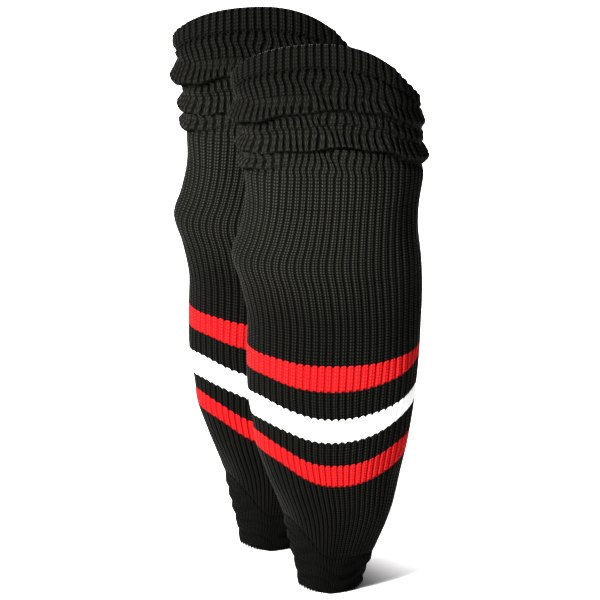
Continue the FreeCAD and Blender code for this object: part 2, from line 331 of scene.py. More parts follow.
def foldsAt(height, angle):
    # How far the folds push the cloth out, and how far they let it drop.
    push = np.zeros_like(height)
    drop = np.zeros_like(height)
    wander = waves(angle, foldShape["wander"])
    for fold in sockFolds:
        centre = aroundLeg(angle, *fold["height"]) + wander
        near = (height - centre) / aroundLeg(angle, *fold["width"])
        swell = np.exp(-near * near)
        section = foldShape["swell"] * swell
        section = section + foldShape["lip"] * np.exp(-((foldShape["lipSharpness"] * near) ** 2))
        for crease in (foldShape["lowCrease"], foldShape["highCrease"]):
            off = near - crease["place"]
            section = section - crease["depth"] * np.exp(-off * off * crease["sharpness"])
        push += aroundLeg(angle, *fold["push"]) * section
        drop += aroundLeg(angle, *fold["drop"]) * swell
    return push, drop


def sockPoint(level, column, inset):
    # level and column are arrays of one shape; column counts ribs round from the front.
    angle = np.interp(column, np.arange(sock["ribs"] + 1), ribAngles)
    height = heightOf(level, angle)
    phase = tau * height / sockSlack["swayPitch"] + waves(angle, sockSlack["swayWander"])
    sway = sockSlack["sway"] * slackAt(height) * np.sin(phase)
    angle = angle + leanAt(height, angle) + sway
    push, drop = foldsAt(height, angle)
    out = push + wrinklesAt(level, height, angle) - inset
    left, right, front, back = ringRadii(height)
    halfWidth = (right - left) / 2
    square = np.interp(height, [0, sock["footTop"]], [sock["footSquareness"], sock["squareness"]])
    s, c = signedPower(np.sin(angle), square), signedPower(np.cos(angle), square)
    depth = np.where(c > 0, front, back)
    nx = s * depth
    ny = -c * halfWidth
    length = np.hypot(nx, ny)
    x = (right + left) / 2 + halfWidth * s + out * nx / length
    y = -depth * c + out * ny / length
    return x, y, height - drop


def ribDepth(level):
    levels, shares = zip(*ribShares)
    return np.interp(level, levels, shares) * sock["ribHeight"]


def rowLevels(first, last):
    low, high = courseLevel(first), courseLevel(last)
    step = sock["foldRowStep"] if high > sock["foldsFrom"] else sock["rowStep"]
    return np.linspace(low, high, round((high - low) / step) + 1)


def tubeMesh(name, levels, rimRoll=0.0):
    # A closed tube of cloth: ribbed outside, smooth inside.
    perRing = sock["ribs"] * sock["columnsPerRib"]
    column = np.arange(perRing) / sock["columnsPerRib"]
    level, rib = np.meshgrid(levels, column, indexing="ij")
    valley = (1 - ribProfile(rib)) * ribDepth(level)
    x, y, z = sockPoint(level, rib, valley)
    z = z - sock["scallop"] * (1 - ribProfile(rib))
    if rimRoll:
        # The rim rolls over to the inside.
        share = np.clip((level - (levels[-1] - rimRoll)) / rimRoll, 0, 1)
        roll = sock["wall"] * 0.5 * (1 - np.sqrt(1 - share**2 + 1e-9))
        inward = np.hypot(x, y)
        x = x - roll * x / inward
        y = y - roll * y / inward
    innerLevels = levels[:: max(1, len(levels) // sock["innerRows"])]
    if innerLevels[-1] != levels[-1]:
        innerLevels = np.append(innerLevels, levels[-1])
    innerLevel, innerRib = np.meshgrid(innerLevels, column, indexing="ij")
    thick = sock["wall"] + ribDepth(innerLevel)
    ix, iy, iz = sockPoint(innerLevel, innerRib, thick)
    rows, innerRows = len(levels), len(innerLevels)
    outer, inner = np.stack([x, y, z], -1), np.stack([ix, iy, iz], -1)
    points = np.concatenate([outer.reshape(-1, 3), inner.reshape(-1, 3)])
    points[:, 2] = np.maximum(points[:, 2], 0)  # nothing below the floor

    def quads(start, count, flip):
        r, k = np.meshgrid(np.arange(count - 1), np.arange(perRing), indexing="ij")
        a = start + r * perRing + k
        b = start + r * perRing + (k + 1) % perRing
        around = [a, b, b + perRing, a + perRing]
        if flip:
            around.reverse()
        return np.stack(around, -1).reshape(-1, 4)

    def edge(outerRow, innerRow, flip):
        k = np.arange(perRing)
        after = (k + 1) % perRing
        base = rows * perRing
        around = [
            outerRow * perRing + k,
            outerRow * perRing + after,
            base + innerRow * perRing + after,
            base + innerRow * perRing + k,
        ]
        if flip:
            around.reverse()
        return np.stack(around, -1)

    faces = np.concatenate(
        [
            quads(0, rows, False),
            quads(rows * perRing, innerRows, True),
            edge(rows - 1, innerRows - 1, False),
            edge(0, 0, True),
        ]
    )
    piece = addMesh(name, points, faces)
    stitchMap(piece, level, rib, innerLevel, innerRib)
    return piece


def stitchMap(piece, level, rib, innerLevel, innerRib):
    # The map counts ribs across and courses up, so one unit is one stitch.
    u = np.concatenate([rib.ravel(), innerRib.ravel()])
    v = np.concatenate([level.ravel(), innerLevel.ravel()]) / sock["coursePitch"]
    mesh = piece.data
    loops = np.zeros(len(mesh.loops), np.int32)
    mesh.loops.foreach_get("vertex_index", loops)
    across = u[loops].reshape(-1, 4)
    # The ring's last face closes on rib zero.
    wraps = across.max(1) - across.min(1) > sock["ribs"] / 2
    across[wraps] = np.where(across[wraps] < 1, across[wraps] + sock["ribs"], across[wraps])
    places = np.stack([across.ravel(), v[loops]], -1).astype(np.float32)
    mesh.uv_layers.new(name="stitches").data.foreach_set("uv", places.ravel())


ribAngles = np.append(ringAngles(sock["ribs"]), tau)


class Nodes:
    # A short way to write a node tree.
    def __init__(self, name):
        self.material = bpy.data.materials.new(name)
        self.material.use_nodes = True
        self.tree = self.material.node_tree
        self.shader = self.tree.nodes["Principled BSDF"]

    def add(self, kind, **settings):
        node = self.tree.nodes.new(kind)
        for key, value in settings.items():
            setattr(node, key, value)
        return node

    def plug(self, value, socket):
        if hasattr(value, "is_output"):
            self.tree.links.new(value, socket)
        else:
            socket.default_value = value

    def math(self, operation, *values):
        node = self.add("ShaderNodeMath", operation=operation)
        for socket, value in zip(node.inputs, values):
            self.plug(value, socket)
        return node.outputs[0]

    def clamp(self, value):
        return self.math("MINIMUM", self.math("MAXIMUM", value, 0.0), 1.0)

    def spread(self, middle, value, share):
        # middle + value * share
        return self.math("ADD", middle, self.math("MULTIPLY", value, share))

    def spot(self):
        return self.add("ShaderNodeTexCoord").outputs["Object"]

    def stretched(self, vector, factors):
        node = self.add("ShaderNodeVectorMath", operation="MULTIPLY")
        self.plug(vector, node.inputs[0])
        node.inputs[1].default_value = factors
        return node.outputs[0]

    def split(self, vector):
        node = self.add("ShaderNodeSeparateXYZ")
        self.plug(vector, node.inputs[0])
        return node.outputs

    def cells(self, vector, scale, evenness=0.0):
        node = self.add("ShaderNodeTexVoronoi")
        self.plug(vector, node.inputs["Vector"])
        node.inputs["Scale"].default_value = scale
        node.inputs["Randomness"].default_value = 1.0 - evenness
        return node.outputs["Distance"]

    def hump(self, value, middle, reach):
        # A rounded bump that is 1 at the middle and 0 at its reach to either side.
        off = self.math("DIVIDE", self.math("SUBTRACT", value, middle), reach)
        rest = self.math("SUBTRACT", 1.0, self.math("MULTIPLY", off, off))
        return self.math("MAXIMUM", rest, 0.0)

    def noise(self, vector, scale, detail, rough):
        node = self.add("ShaderNodeTexNoise")
        self.plug(vector, node.inputs["Vector"])
        node.inputs["Scale"].default_value = scale
        node.inputs["Detail"].default_value = detail
        node.inputs["Roughness"].default_value = rough
        return node.outputs["Fac"]

    def ramp(self, value, stops):
        node = self.add("ShaderNodeValToRGB")
        self.plug(value, node.inputs["Fac"])
        while len(node.color_ramp.elements) < len(stops):
            node.color_ramp.elements.new(0.5)
        for element, (place, colour) in zip(node.color_ramp.elements, stops):
            element.position = place
            element.color = (*colour, 1)
        return node.outputs["Color"]

    def mix(self, share, a, b):
        node = self.add("ShaderNodeMix", data_type="RGBA")
        self.plug(share, node.inputs["Factor"])
        self.plug(a if hasattr(a, "is_output") else (*a, 1), node.inputs["A"])
        self.plug(b if hasattr(b, "is_output") else (*b, 1), node.inputs["B"])
        return node.outputs["Result"]

    def finish(self, colour, rough, height, relief, strength=1.0):
        # Plugs a surface's colour, roughness and relief into the shader.
        bump = self.add("ShaderNodeBump")
        self.plug(height, bump.inputs["Height"])
        bump.inputs["Distance"].default_value = relief
        bump.inputs["Strength"].default_value = strength
        self.plug(colour, self.shader.inputs["Base Color"])
        self.plug(rough, self.shader.inputs["Roughness"])
        self.plug(bump.outputs["Normal"], self.shader.inputs["Normal"])
        return self.material


stitches = {
    "lean": 0.75,  # how steeply a stitch's legs climb
    "legPlace": 0.42,
    "legWidth": 0.40,
    "ladder": 0.18,  # the purl bars in the valleys
    "fuzz": 0.22,
    "fibreStretch": (6.0, 1.6, 1.0),
    "fibre": (3.0, 4.0, 0.65),  # scale, detail and roughness of the noise
    "patch": (0.08, 3.0, 0.5),
    "stops": (0.05, 0.55, 1.0),  # where the painted gap shade, the body and the painted tip highlight colours lie
    "roughSpread": 0.12,
    "relief": 0.0012,
}

# The knit over the knee cap gets a painted highlight, where the key light's glint falls on the
# front:
# the middle and reach by course and by rib from the back, and how much paler it is.
paintedKneeHighlight = {"course": 141.0, "courseReach": 38.0, "rib": 27.5, "ribReach": 15.0, "paler": 1.15}

# Slack knit closes up, so its stitches show less than its ribs do; there the colour runs from the
# cord colour on the rib to painted shade in the valleys between ribs.
closedKnit = {"course": 150.0, "fade": 8.0, "share": 0.55, "stops": (0.25, 1.0)}
cordColour = (0.0104, 0.0103, 0.0085)

# Each yarn has a painted shade colour for the gaps between stitches, its own body colour and a
# painted highlight colour for the stitch tips.
yarns = {
    "knit_black": {
        "paintedGapShade": (0.0004, 0.0004, 0.0004),
        "body": (0.0050, 0.0050, 0.0040),
        "paintedTipHighlight": (0.0190, 0.0188, 0.0155),
        "wear": 0.03,
        "rough": 0.42,
        "gloss": 0.028,
        **stitches,
    },
    "plain_hem": {
        "paintedGapShade": (0.0012, 0.0012, 0.0011),
        "body": (0.0034, 0.0034, 0.0029),
        "paintedTipHighlight": (0.0100, 0.0099, 0.0085),
        "wear": 0.10,
        "rough": 0.55,
        "gloss": 0.02,
        **stitches,
        "relief": 0.0006,
    },
    "knit_red": {
        "paintedGapShade": (0.26, 0.0040, 0.0050),
        "body": (0.46, 0.0120, 0.0140),
        "paintedTipHighlight": (0.58, 0.0240, 0.0260),
        "wear": 0.04,
        "rough": 0.55,
        "gloss": 0.05,
        **stitches,
    },
    "knit_white": {
        "paintedGapShade": (0.78, 0.79, 0.79),
        "body": (0.84, 0.85, 0.845),
        "paintedTipHighlight": (0.87, 0.88, 0.87),
        "wear": 0.04,
        "rough": 0.6,
        "gloss": 0.08,
        **stitches,
        "relief": 0.0008,
    },
}


def knitMaterial(name, yarn):
    # Rib knit: each rib is a column of V stitches, and each valley a ladder of purl bars.
    n = Nodes(name)
    place = n.add("ShaderNodeUVMap", uv_map="stitches").outputs["UV"]
    across, along, _ = n.split(place)
    # 0 along the middle of a rib, 1 in the valley beside it.
    offMiddle = n.math("ABSOLUTE", n.math("SUBTRACT", n.math("FRACT", across), 0.5))
    side = n.math("MULTIPLY", offMiddle, 2.0)
    # The legs of a V climb from the middle of the rib to its edge.
    lean = n.math("MULTIPLY", side, yarn["lean"])
    legLong = n.hump(n.math("FRACT", n.math("SUBTRACT", along, lean)), 0.5, 0.5)
    leg = n.math("MULTIPLY", legLong, n.hump(side, yarn["legPlace"], yarn["legWidth"]))
    ladder = n.math("MULTIPLY", n.hump(n.math("FRACT", along), 0.5, 0.5), yarn["ladder"])
    # Fibres run along the yarn, and some patches are rubbed paler.
    fibre = n.noise(n.stretched(place, yarn["fibreStretch"]), *yarn["fibre"])
    patch = n.noise(place, *yarn["patch"])
    height = n.spread(n.math("MAXIMUM", leg, ladder), fibre, yarn["fuzz"])
    # The colour follows the stitch relief: painted shade where it is low, in the gaps and valleys,
    # and a painted highlight on the stitch tips.
    colours = (yarn["paintedGapShade"], yarn["body"], yarn["paintedTipHighlight"])
    shade = n.ramp(height, list(zip(yarn["stops"], colours)))
    shade = n.mix(n.math("MULTIPLY", patch, yarn["wear"]), shade, yarn["paintedTipHighlight"])
    closing = n.math("SUBTRACT", along, closedKnit["course"])
    closing = n.clamp(n.math("DIVIDE", closing, closedKnit["fade"]))
    # Painted shade in the valleys between the ribs of the slack knit.
    cord = n.ramp(side, list(zip(closedKnit["stops"], (cordColour, yarn["paintedGapShade"]))))
    shade = n.mix(n.math("MULTIPLY", closing, closedKnit["share"]), shade, cord)
    count = sock["ribs"]
    fromBack = n.math("FLOORED_MODULO", n.math("ADD", across, count / 2), float(count))
    # Painted highlight: the colour is scaled up in a patch at the front of the knee.
    knee = n.math(
        "MULTIPLY",
        n.hump(along, paintedKneeHighlight["course"], paintedKneeHighlight["courseReach"]),
        n.hump(fromBack, paintedKneeHighlight["rib"], paintedKneeHighlight["ribReach"]),
    )
    paler = n.add("ShaderNodeVectorMath", operation="SCALE")
    n.plug(shade, paler.inputs[0])
    n.plug(n.spread(1.0, knee, paintedKneeHighlight["paler"]), paler.inputs["Scale"])
    rough = n.spread(yarn["rough"], fibre, yarn["roughSpread"])
    n.shader.inputs["Specular IOR Level"].default_value = yarn["gloss"]
    return n.finish(paler.outputs[0], rough, height, yarn["relief"])


# Each guard stands over the middle of its ankle hem.
guards = {side: middleOf(f"{side}_sock_ankle_hem") for side in ("left", "right")}


def buildSocks():
    materials = {name: knitMaterial(name, yarn) for name, yarn in yarns.items()}
    for side, centre in guards.items():
        for name, first, last, yarn, nodes in stripePieces:
            levels = rowLevels(first, last)
            rimRoll = sock["rimRoll"] if name == "topHem" else 0.0
            piece = tubeMesh(f"{side}_{name}", levels, rimRoll)
            piece.location = (centre.x, centre.y, 0)
            piece.data.materials.append(materials["plain_hem" if name == "ankleHem" else yarn])
            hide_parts(*[f"{side}_{node}" for node in nodes])
            holdPiece(piece, side, name)


def holdPiece(piece, side, name):
    if name in bends:
        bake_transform(piece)
    else:
        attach(piece, f"{side}_thigh" if name == "topHem" else f"{side}_shin")


buildSocks()
print("socks knitted")

# Height, half width and half depth of the shin shell's outer face, in metres.
guardOutline = [
    (0.084, 0.0460, 0.0350),
    (0.134, 0.0605, 0.0400),
    (0.180, 0.0745, 0.0450),
    (0.232, 0.0810, 0.0480),
    (0.318, 0.0820, 0.0500),
    (0.612, 0.0820, 0.0490),
]


def guardSection(height):
    knots = [row[0] for row in guardOutline]
    return [np.interp(height, knots, [row[k] for row in guardOutline]) for k in (1, 2)]


def guardNormal(points):
    # How far a point lies inside the shell's outer face, and the way out.
    a, b = guardSection(points[:, 2])
    x, y = points[:, 0], points[:, 1]
    reach = np.hypot(x / a, y / b)
    out = np.stack([x / a**2, y / b**2, np.zeros_like(x)], -1)
    out /= np.linalg.norm(out, axis=1)[:, None] + 1e-12
    inset = (1 - reach) * np.hypot(x, y) / np.maximum(reach, 1e-6)
    return inset, out


def guardAxis(side):
    return np.array((guards[side].x, guards[side].y, 0))


def addGuardPiece(side, name, points, faces, material):
    # The left guard's own points, moved to its place or mirrored to the right guard's.
    mirror = -1 if side == "right" else 1
    placed = points * (mirror, 1, 1) + guardAxis(side)
    faces = [tuple(face)[::mirror] for face in faces]
    mesh = bpy.data.meshes.new(f"{side}_{name}")
    mesh.from_pydata(placed.tolist(), [], faces)
    mesh.polygons.foreach_set("use_smooth", np.full(len(faces), True))
    mesh.update()
    mesh.materials.append(material)
    piece = bpy.data.objects.new(f"{side}_{name}", mesh)
    bpy.context.scene.collection.objects.link(piece)
    return piece


# Foam pads, puffed by a cloth simulation and then quilted.
padMaking = {
    "voxel": 0.0045,
    "shrink": 0.0007,
    "pressure": 4.0,
    "quality": 5,
    "mass": 0.2,
    "frames": 20,
    "outwardCap": 0.0002,
    "inwardCap": 0.0045,
    "slideCap": 0.0012,
    "settleShare": 0.5,
    "settleSteps": 12,
    "channelDepth": 0.0030,
    "channelReach": 0.0036,
    "channelRadius": 0.050,  # of the foam, for the channels that run up the leg
    "shellSide": 0.0035,  # foam this near the shell isn't pressed
    "shellFade": 0.004,
}

pads = {
    # CAD node: piece, body, fill, sewn channels across (heights) and along (angles from the front)
    "shin_liner": {"piece": "shinLiner", "body": "shin", "fill": 0.6,
                   "across": [0.146, 0.196, 0.246, 0.296, 0.340], "along": [-0.75, 0.0, 0.75]},
    "knee_pad": {"piece": "kneePad", "body": "knee_cap", "fill": 0.7,
                 "across": [0.4265], "along": [-0.9, -0.3, 0.3, 0.9]},
    "thigh_pad": {"piece": "thighPad", "body": "thigh", "fill": 0.6,
                  "across": [0.531], "along": [-0.75, 0.0, 0.75]},
    "calf_wing_outer": {"piece": "outerCalfWing", "body": "shin", "fill": 0.5,
                        "across": [0.168, 0.231, 0.294], "along": []},
    "calf_wing_inner": {"piece": "innerCalfWing", "body": "shin", "fill": 0.5,
                        "across": [0.168, 0.231, 0.294], "along": []},
}


def meshPoints(mesh):
    points = np.zeros(len(mesh.vertices) * 3)
    mesh.vertices.foreach_get("co", points)
    return points.reshape(-1, 3)


def setPoints(mesh, points):
    mesh.vertices.foreach_set("co", np.asarray(points, np.float32).ravel())
    mesh.update()


def evaluatedMesh(piece):
    graph = bpy.context.evaluated_depsgraph_get()
    return bpy.data.meshes.new_from_object(piece.evaluated_get(graph))


def applyModifiers(piece):
    mesh = evaluatedMesh(piece)
    piece.modifiers.clear()
    piece.data = mesh


def padBlank(node, name):
    # The foam block's own shape, remeshed evenly.
    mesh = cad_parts[f"left_{node}"].data.copy()
    mesh.materials.clear()
    work = bmesh.new()
    work.from_mesh(mesh)
    bmesh.ops.remove_doubles(work, verts=work.verts, dist=1e-5)
    work.to_mesh(mesh)
    work.free()
    blank = bpy.data.objects.new(name, mesh)
    bpy.context.scene.collection.objects.link(blank)
    remesh = blank.modifiers.new("even", "REMESH")
    remesh.mode = "VOXEL"
    remesh.voxel_size = padMaking["voxel"]
    applyModifiers(blank)
    return blank


def puff(blanks):
    # All pads swell together, under pressure and without gravity.
    scene = bpy.context.scene
    starts = {}
    for node, blank in blanks.items():
        start = meshPoints(blank.data)
        starts[node] = start
        normals = np.zeros(start.size)
        blank.data.vertices.foreach_get("normal", normals)
        setPoints(blank.data, start - normals.reshape(-1, 3) * padMaking["shrink"])
        cloth = blank.modifiers.new("puff", "CLOTH")
        cloth.settings.quality = padMaking["quality"]
        cloth.settings.mass = padMaking["mass"]
        cloth.settings.use_pressure = True
        cloth.settings.uniform_pressure_force = padMaking["pressure"]
        cloth.settings.effector_weights.gravity = 0
        cloth.point_cache.frame_start = 1
        cloth.point_cache.frame_end = padMaking["frames"]
    scene.frame_start, scene.frame_end = 1, padMaking["frames"]
    for step in range(1, padMaking["frames"] + 1):
        scene.frame_set(step)
    for node, blank in blanks.items():
        swollen = meshPoints(evaluatedMesh(blank))
        blank.modifiers.clear()
        setPoints(blank.data, cappedMove(starts[node], swollen))
    scene.frame_set(1)


def cappedMove(start, swollen):
    # The shell stops the foam outside, and the leg side may crown a little.
    out = guardNormal(start - guardAxis("left"))[1]
    move = swollen - start
    across = (move * out).sum(1)
    slide = move - across[:, None] * out
    length = np.linalg.norm(slide, axis=1)
    slide *= np.minimum(1, padMaking["slideCap"] / (length + 1e-9))[:, None]
    across = np.clip(across, -padMaking["inwardCap"], padMaking["outwardCap"])
    return start + slide + across[:, None] * out


def sewChannels(piece, pad):
    # Quilting lines press the leg side of the foam towards the shell.
    points = meshPoints(piece.data)
    local = points - guardAxis("left")
    inset, out = guardNormal(local)
    fromShell = inset - inset.min() - padMaking["shellSide"]
    legSide = np.clip(fromShell / padMaking["shellFade"], 0, 1)
    angle = np.arctan2(local[:, 0], -local[:, 1])
    offs = [local[:, 2] - height for height in pad["across"]]
    offs += [(angle - line) * padMaking["channelRadius"] for line in pad["along"]]
    press = np.exp(-np.min(np.abs(offs), axis=0) ** 2 / padMaking["channelReach"] ** 2)
    move = press * legSide * padMaking["channelDepth"]
    setPoints(piece.data, points + out * move[:, None])


def buildPads():
    blanks = {node: padBlank(node, f"left_{pad['piece']}") for node, pad in pads.items()}
    puff(blanks)
    material = padMaterial("liner_fabric")
    for node, pad in pads.items():
        blank = blanks[node]
        settle = blank.modifiers.new("settle", "SMOOTH")
        settle.factor = padMaking["settleShare"]
        settle.iterations = padMaking["settleSteps"]
        blank.modifiers.new("round", "SUBSURF").levels = 1
        applyModifiers(blank)
        sewChannels(blank, pad)
        local = meshPoints(blank.data) - guardAxis("left")
        faces = [tuple(face.vertices) for face in blank.data.polygons]
        bpy.data.objects.remove(blank)
        for side in guards:
            piece = addGuardPiece(side, pad["piece"], local, faces, material)
            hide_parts(f"{side}_{node}")
            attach(piece, f"{side}_{pad['body']}")


# Elastic straps and their hook tabs, with sections in metres off the shell.
straps = {
    "lower_strap": {"piece": "lowerStrap", "middle": 0.164},
    "upper_strap": {"piece": "upperStrap", "middle": 0.300},
}

strapMaking = {
    "halfWidth": 0.0186,
    "inner": 0.0007,
    "outer": 0.0026,
    "start": 0.0043,
    "ribPitch": 0.0031,
    "ribRise": 0.00016,
    "edge": 0.06,
    "steps": 120,
    "across": 49,
    "webbing": 0.038,
}

tabMaking = {
    "back": 0.0041,
    "front": -0.0278,
    "shoulder": -0.0200,
    "halfWidth": 0.0148,
    "nose": 0.0090,
    "inner": 0.0007,
    "outer": 0.0025,
    "steps": 48,
    "across": 33,
    "edge": 0.08,
    "noseEdge": 1.6,
    "rim": 0.0003,  # depth of the welded line, and its place and reach from the edge
    "rimPlace": 0.16,
    "rimReach": 0.05,
}

thinnestEdge = 0.25  # share of the full thickness at a strap's edge


def onSide(y, z, off):
    # A point on the guard's outer side, off metres proud of the shell.
    a, b = guardSection(z)
    return (a + off) * np.sqrt(np.clip(1 - (y / (b + off)) ** 2, 0, 1))


def slabFaces(rows, columns):
    # Faces of a slab whose outer and inner grids follow each other in the point list.
    size = rows * columns
    faces = []
    for r in range(rows - 1):
        for k in range(columns - 1):
            a = r * columns + k
            faces.append((a, a + columns, a + columns + 1, a + 1))
            faces.append((size + a, size + a + 1, size + a + columns + 1, size + a + columns))
    border = [(r, 0) for r in range(rows)] + [(rows - 1, k) for k in range(1, columns)]
    border += [(r, columns - 1) for r in range(rows - 2, -1, -1)]
    border += [(0, k) for k in range(columns - 2, 0, -1)]
    loop = [r * columns + k for r, k in border]
    for a, b in zip(loop, loop[1:] + loop[:1]):
        faces.append((a, size + a, size + b, b))
    return faces


def edgeRounding(share, reach):
    # 1 inside, falling round to 0 at the edge, for a slab's soft edges.
    return np.sqrt(np.clip(1 - np.clip(1 - share / reach, 0, 1) ** 2, 0, 1))


def slabGrid(make):
    # Shares along and across a slab: 0 to 1, and -1 to 1.
    along, across = np.linspace(0, 1, make["steps"]), np.linspace(-1, 1, make["across"])
    return np.meshgrid(along, across, indexing="ij")


def slabLayers(make, thick, relief):
    # Distances off the shell of a slab's outer and inner faces.
    middle = (make["inner"] + make["outer"]) / 2
    half = (make["outer"] - make["inner"]) / 2 * np.maximum(thick, thinnestEdge)
    return [middle + half + relief[0], middle - half + relief[1]]


def strapPoints(height):
    make = strapMaking
    along, across = slabGrid(make)
    z = height + across * make["halfWidth"]
    thick = edgeRounding(1 - np.abs(across), make["edge"])
    rib = make["ribRise"] * np.cos(tau * across * make["halfWidth"] / make["ribPitch"])
    sink = (rib - make["ribRise"]) * thick
    grids = []
    for off in slabLayers(make, thick, (sink, -sink)):
        a, b = guardSection(z)
        begin = np.arcsin(make["start"] / (b + off))
        angle = begin + along * (math.pi - 2 * begin)
        grids.append(np.stack([(a + off) * np.cos(angle), (b + off) * np.sin(angle), z], -1))
    return np.stack(grids)


def tabPoints(height):
    make = tabMaking
    along, across = slabGrid(make)
    y = make["back"] + along * (make["front"] - make["back"])
    past = np.clip((make["shoulder"] - y) / (make["shoulder"] - make["front"]), 0, 1)
    halfWidth = make["nose"] + (make["halfWidth"] - make["nose"]) * np.sqrt(1 - past**2)
    z = height + across * halfWidth
    toEdge = np.minimum(1 - np.abs(across), (1 - along) * make["noseEdge"])
    thick = edgeRounding(toEdge, make["edge"])
    rim = make["rim"] * np.exp(-(((toEdge - make["rimPlace"]) / make["rimReach"]) ** 2))
    layers = slabLayers(make, thick, (-rim, 0))
    return np.stack([np.stack([onSide(y, z, off), y, z], -1) for off in layers])


def buildStraps():
    elastic = strapMaterial("strap_elastic")
    hooks = hookMaterial("hook_tape")
    # The straps' grids run round the leg the other way, so their faces are flipped.
    strapFaces = [face[::-1] for face in slabFaces(strapMaking["steps"], strapMaking["across"])]
    tabFaces = slabFaces(tabMaking["steps"], tabMaking["across"])
    tabs = np.concatenate([tabPoints(strap["middle"]).reshape(-1, 3) for strap in straps.values()])
    upper = len(tabs) // 2
    tabFaces += [tuple(k + upper for k in face) for face in tabFaces]
    for side in guards:
        for node, strap in straps.items():
            grid = strapPoints(strap["middle"])
            points = grid.reshape(-1, 3)
            name = strap["piece"]
            piece = addGuardPiece(side, name, points, strapFaces, elastic)
            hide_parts(f"{side}_{node}")
            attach(piece, f"{side}_shin")
        piece = addGuardPiece(side, "strapHookTabs", tabs, tabFaces, hooks)
        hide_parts(f"{side}_strap_hook_tabs")
        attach(piece, f"{side}_shin")


# Finishes of the guard. A noise is given by its scale, detail and roughness.
linerCloth = {
    "pits": 620,
    "pitShare": 0.9,
    "nap": (900, 3.0, 0.6),
    "napShare": 0.4,
    "clouds": (24, 3.0, 0.5),
    "cloudShare": 0.25,
    "stops": [(0.1, (0.010, 0.011, 0.013)), (0.8, (0.040, 0.042, 0.047))],
    "pale": (0.060, 0.062, 0.068),
    "rough": 0.82,
    "roughSpread": 0.12,
    "sheen": 0.08,
    "relief": 0.0005,
    "strength": 0.9,
}

wovenElastic = {
    "cords": 2027.0,  # waves per metre of height, in radians
    "cordShare": 0.6,
    "picks": 130.0,  # waves round the leg
    "pickShare": 0.4,
    "lint": (420, 4.0, 0.7),
    "lintShare": 0.3,
    "stops": [(0.2, (0.010, 0.010, 0.011)), (1.0, (0.045, 0.045, 0.048))],
    "rough": 0.62,
    "roughSpread": 0.2,
    "relief": 0.0004,
    "strength": 0.8,
}

hookTape = {
    "hooks": 1000,
    "evenness": 0.65,
    "stops": [(0.3, (0.008, 0.008, 0.009)), (0.9, (0.060, 0.060, 0.064))],
    "rough": 0.45,
    "roughSpread": 0.2,
    "relief": 0.0007,
}

moulding = {
    "grain": (1400, 2.0, 0.6),
    "clouds": (18, 3.0, 0.5),
    "scuffStretch": (1.0, 1.0, 0.12),
    "scuffs": (160, 5.0, 0.7),
    "scuffFrom": 0.66,
    "scuffShare": 0.18,
    "scuffPaler": 1.6,
    "cloudRough": 0.12,
    "scuffRough": 0.25,
    "strength": 0.7,
}

plastics = {
    "guard_shell": {
        "low": (0.15, 0.155, 0.16),
        "high": (0.21, 0.215, 0.22),
        "rough": 0.26,
        "relief": 0.00006,
    },
    "anchor_plastic": {
        "low": (0.014, 0.014, 0.015),
        "high": (0.030, 0.030, 0.032),
        "rough": 0.42,
        "relief": 0.00012,
    },
}

platedSteel = {
    "marks": (2200, 2.0, 0.7),
    "clouds": (90, 3.0, 0.5),
    "stops": [(0.2, (0.52, 0.52, 0.54)), (0.8, (0.72, 0.72, 0.74))],
    "rough": 0.24,
    "roughSpread": 0.2,
    "relief": 0.0001,
    "strength": 0.5,
}

# CAD nodes that keep their own shape, and their finishes.
hardParts = {
    "shin_shell": "guard_shell",
    "knee_cap": "guard_shell",
    "thigh_plate": "guard_shell",
    "strap_anchors": "anchor_plastic",
    "anchor_rivets": "rivet_metal",
    "knee_pivot_pins": "rivet_metal",
    "thigh_pivot_pins": "rivet_metal",
}


def padMaterial(name):
    # Brushed liner cloth: a fine mesh weave over foam.
    look = linerCloth
    n = Nodes(name)
    spot = n.spot()
    nap = n.noise(spot, *look["nap"])
    pits = n.math("MULTIPLY", n.cells(spot, look["pits"]), look["pitShare"])
    tone = n.spread(pits, nap, look["napShare"])
    cloudy = n.math("MULTIPLY", n.noise(spot, *look["clouds"]), look["cloudShare"])
    colour = n.mix(cloudy, n.ramp(tone, look["stops"]), look["pale"])
    n.shader.inputs["Sheen Weight"].default_value = look["sheen"]
    rough = n.spread(look["rough"], nap, look["roughSpread"])
    return n.finish(colour, rough, tone, look["relief"], look["strength"])


def strapMaterial(name):
    # Woven elastic: warp cords along the strap and fine picks across it.
    look = wovenElastic
    n = Nodes(name)
    spot = n.spot()
    x, y, z = n.split(spot)
    cords = n.math("ABSOLUTE", n.math("SINE", n.math("MULTIPLY", z, look["cords"])))
    around = n.math("MULTIPLY", n.math("ARCTAN2", y, x), look["picks"])
    picks = n.math("ABSOLUTE", n.math("SINE", around))
    weave = n.spread(n.math("MULTIPLY", cords, look["cordShare"]), picks, look["pickShare"])
    lint = n.noise(spot, *look["lint"])
    tone = n.spread(weave, lint, look["lintShare"])
    rough = n.spread(look["rough"], lint, look["roughSpread"])
    return n.finish(n.ramp(tone, look["stops"]), rough, tone, look["relief"], look["strength"])


def hookMaterial(name):
    # A field of fine hooks.
    look = hookTape
    n = Nodes(name)
    tuft = n.math("SUBTRACT", 1.0, n.cells(n.spot(), look["hooks"], look["evenness"]))
    rough = n.spread(look["rough"], tuft, look["roughSpread"])
    return n.finish(n.ramp(tuft, look["stops"]), rough, tuft, look["relief"])


